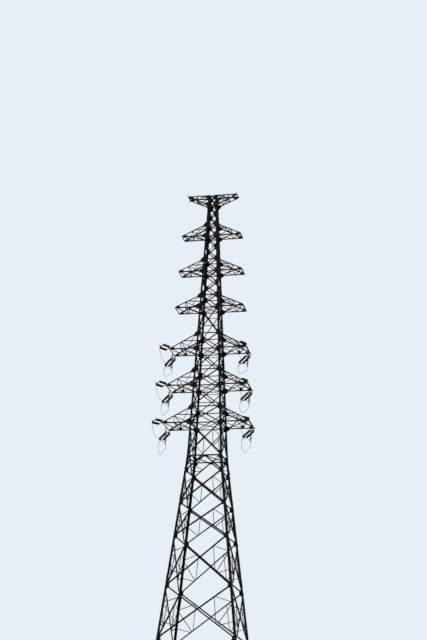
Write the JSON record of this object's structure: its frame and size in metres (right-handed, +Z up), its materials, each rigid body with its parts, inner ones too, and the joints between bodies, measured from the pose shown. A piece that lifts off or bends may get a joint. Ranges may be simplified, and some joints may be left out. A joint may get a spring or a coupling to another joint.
{
  "type": "scale model of a lattice transmission pylon, 1:2",
  "caption": "Tall square lattice steel pylon, tapering to a waist, with stacked crossarms, strings of disc insulators and jumper loops, made for a sharp turn of the line.",
  "frame": {"origin": "on the tower's axis, level with the undersides of its four base plates, at the centre of the anchor bolts", "axes": "+Z up, +X along the crossarms, +Y along the line, from the near face that the picture shows to the away face"},
  "size_m": [6.8595, 6.4824, 34.9165],
  "materials": {
    "leg_steel": "weathered matt dark brown-grey coating on galvanised angle",
    "bracing_steel": "weathered matt dark coating",
    "arm_steel": "weathered matt dark coating",
    "base_steel": "weathered matt coating with dust near the ground",
    "porcelain": "dark brown glazed porcelain discs with dull galvanised caps",
    "fittings": "dull galvanised",
    "wire": "dull weathered stranded aluminium"
  },
  "bodies": {
    "root": {"base_shoe_near_left": "base_steel", "base_shoe_near_right": "base_steel", "base_shoe_away_right": "base_steel", "base_shoe_away_left": "base_steel", "lower_leg_near_left": "leg_steel", "lower_leg_near_right": "leg_steel", "lower_leg_away_right": "leg_steel", "lower_leg_away_left": "leg_steel", "upper_leg_near_left": "leg_steel", "upper_leg_near_right": "leg_steel", "upper_leg_away_right": "leg_steel", "upper_leg_away_left": "leg_steel", "lower_face_near": "bracing_steel", "lower_face_right": "bracing_steel", "lower_face_away": "bracing_steel", "lower_face_left": "bracing_steel", "upper_face_near": "bracing_steel", "upper_face_right": "bracing_steel", "upper_face_away": "bracing_steel", "upper_face_left": "bracing_steel", "waist_frame": "bracing_steel", "body_frames": "bracing_steel", "earth_wire_clamps": "fittings", "lower_arm_1_left": "arm_steel", "lower_arm_1_right": "arm_steel", "lower_arm_2_left": "arm_steel", "lower_arm_2_right": "arm_steel", "lower_arm_3_left": "arm_steel", "lower_arm_3_right": "arm_steel", "upper_arm_1_left": "arm_steel", "upper_arm_1_right": "arm_steel", "upper_arm_2_left": "arm_steel", "upper_arm_2_right": "arm_steel", "upper_arm_3_left": "arm_steel", "upper_arm_3_right": "arm_steel", "earth_arm_left": "arm_steel", "earth_arm_right": "arm_steel", "near_strings_left": "porcelain", "near_strings_right": "porcelain", "away_strings_left": "porcelain", "away_strings_right": "porcelain", "jumper_strings_left": "porcelain", "jumper_strings_right": "porcelain", "jumper_wires_left": "wire", "jumper_wires_right": "wire"}
  },
  "joints": []
}
